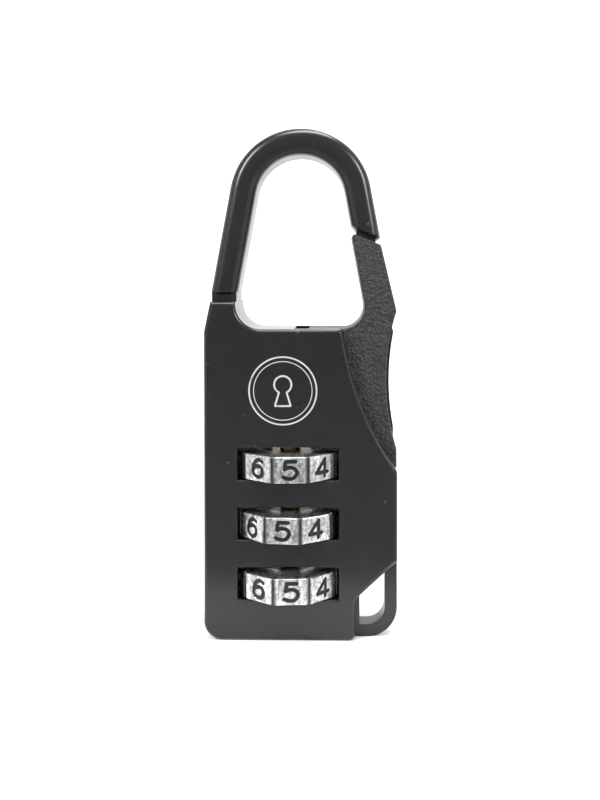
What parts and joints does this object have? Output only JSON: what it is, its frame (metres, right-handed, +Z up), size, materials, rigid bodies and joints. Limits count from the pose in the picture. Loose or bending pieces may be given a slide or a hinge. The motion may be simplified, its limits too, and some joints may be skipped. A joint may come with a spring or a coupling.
{
  "type": "combination padlock",
  "caption": "Flat black combination padlock with number dials in windows, a fixed hook and a sprung carabiner gate lever.",
  "frame": {"origin": "where the dial axis meets the flat underside of the body", "axes": "+Z up along the dial axis towards the hook, -Y out of the front face with the numbers, +X towards the gate lever"},
  "size_m": [0.0282, 0.016, 0.075],
  "materials": {
    "black_enamel": "satin black enamel on cast zinc",
    "grained_black": "grained matt black enamel",
    "black_steel": "black rivet",
    "steel_pin": "ground steel",
    "spring_steel": "drawn steel",
    "brass_works": "turned brass",
    "comb_plastic": "moulded plastic",
    "dial_metal": "satin nickel with black-filled figures"
  },
  "bodies": {
    "root": {"front_cover": "black_enamel", "rear_housing": "black_enamel", "cover_rivets": "black_steel", "shackle_hook": "black_enamel", "hook_pin": "steel_pin", "lever_pivot_pin": "steel_pin", "lever_spring": "spring_steel", "spindle_bush": "brass_works", "spindle_spring": "spring_steel", "reset_spring": "spring_steel", "detent_spring": "spring_steel"},
    "gate_lever": {"gate_lever": "grained_black"},
    "spindle": {"spindle": "brass_works", "spindle_clip": "spring_steel"},
    "reset_slider": {"reset_slider": "comb_plastic"},
    "lower_dial": {"lower_dial": "dial_metal"},
    "lower_sleeve": {"lower_sleeve": "brass_works"},
    "middle_dial": {"middle_dial": "dial_metal"},
    "middle_sleeve": {"middle_sleeve": "brass_works"},
    "upper_dial": {"upper_dial": "dial_metal"},
    "upper_sleeve": {"upper_sleeve": "brass_works"}
  },
  "joints": [
    {"name": "lever_swing", "type": "hinge", "parent": "root", "child": "gate_lever", "pos_m": [0.0126, 0, 0.0253], "axis": [0, -1, 0], "range_deg": [0, 10.8], "stiffness_Nm_per_rad": 0.08, "springref_deg": -14.32, "deforming": ["lever_spring"]},
    {"name": "spindle_drop", "type": "slide", "parent": "root", "child": "spindle", "axis": [0, 0, -1], "range_m": [0, 0.00124], "deforming": ["spindle_spring"]},
    {"name": "reset_push", "type": "slide", "parent": "root", "child": "reset_slider", "axis": [0, 0, -1], "range_m": [0, 0.0015], "stiffness_N_per_m": 300, "springref_m": -0.001, "deforming": ["reset_spring"]},
    {"name": "lower_dial_turn", "type": "hinge", "parent": "root", "child": "lower_dial", "pos_m": [0, 0, 0.00795], "axis": [0, 0, 1], "continuous": true, "deforming": ["detent_spring"]},
    {"name": "middle_dial_turn", "type": "hinge", "parent": "root", "child": "middle_dial", "pos_m": [0, 0, 0.01665], "axis": [0, 0, 1], "continuous": true},
    {"name": "upper_dial_turn", "type": "hinge", "parent": "root", "child": "upper_dial", "pos_m": [0, 0, 0.02535], "axis": [0, 0, 1], "continuous": true},
    {"name": "lower_sleeve_turn", "type": "hinge", "parent": "reset_slider", "child": "lower_sleeve", "pos_m": [0, 0, 0.00605], "axis": [0, 0, 1], "continuous": true},
    {"name": "middle_sleeve_turn", "type": "hinge", "parent": "reset_slider", "child": "middle_sleeve", "pos_m": [0, 0, 0.01475], "axis": [0, 0, 1], "continuous": true},
    {"name": "upper_sleeve_turn", "type": "hinge", "parent": "reset_slider", "child": "upper_sleeve", "pos_m": [0, 0, 0.02345], "axis": [0, 0, 1], "continuous": true}
  ],
  "couplings": [
    {"joint": "spindle_drop", "follows": "lever_swing", "m_per_rad": 0.00648},
    {"joint": "lower_sleeve_turn", "follows": "lower_dial_turn", "ratio": 1},
    {"joint": "middle_sleeve_turn", "follows": "middle_dial_turn", "ratio": 1},
    {"joint": "upper_sleeve_turn", "follows": "upper_dial_turn", "ratio": 1}
  ]
}
